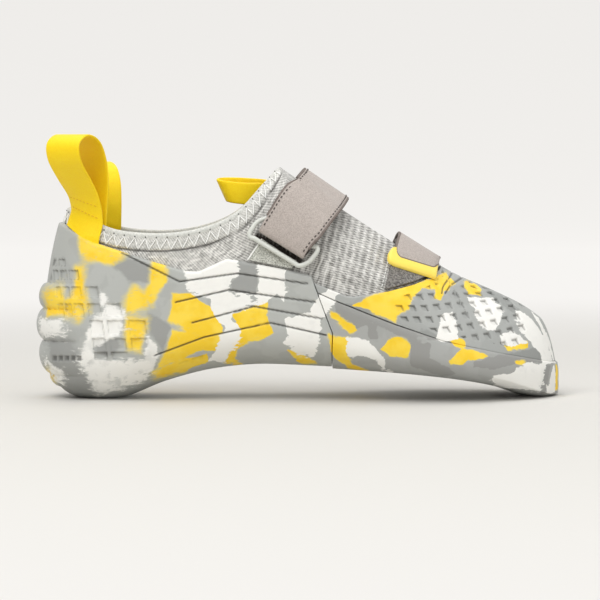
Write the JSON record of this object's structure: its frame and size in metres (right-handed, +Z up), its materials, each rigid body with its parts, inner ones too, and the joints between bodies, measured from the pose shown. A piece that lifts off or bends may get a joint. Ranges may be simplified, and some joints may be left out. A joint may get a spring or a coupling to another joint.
{
  "type": "climbing shoe",
  "caption": "Low-cut slip-on climbing shoe for the right foot: knit bootie, moulded marbled rubber heel and sole, two hook-and-loop straps and ribbon pull loops.",
  "frame": {"origin": "middle of the shoe's box at floor level", "axes": "+X to the toe, -Y to the outer side of the foot, +Z up"},
  "size_m": [0.2545, 0.0886, 0.1275],
  "materials": {
    "knit": "melange grey stretch knit",
    "footbed": "plain lining",
    "rubber": "matt moulded rubber, marbled in grey, white and yellow",
    "strap": "flat woven strap with stitched edges",
    "ring": "pale moulded plastic",
    "webbing": "grey webbing",
    "yellow_tab": "soft yellow pull tab",
    "ribbon": "satin yellow ribbon"
  },
  "bodies": {
    "root": {"upper": "knit", "insole": "footbed", "heel_shell": "rubber", "outsole": "rubber", "toe_patch": "rubber", "upper_strap": "strap", "lower_strap": "strap", "upper_ring": "ring", "lower_ring": "ring", "upper_ring_tab": "webbing", "lower_ring_tab": "webbing", "pull_tab": "yellow_tab", "heel_loop_outer": "ribbon", "heel_loop_inner": "ribbon", "tongue_loop": "ribbon"}
  },
  "joints": []
}
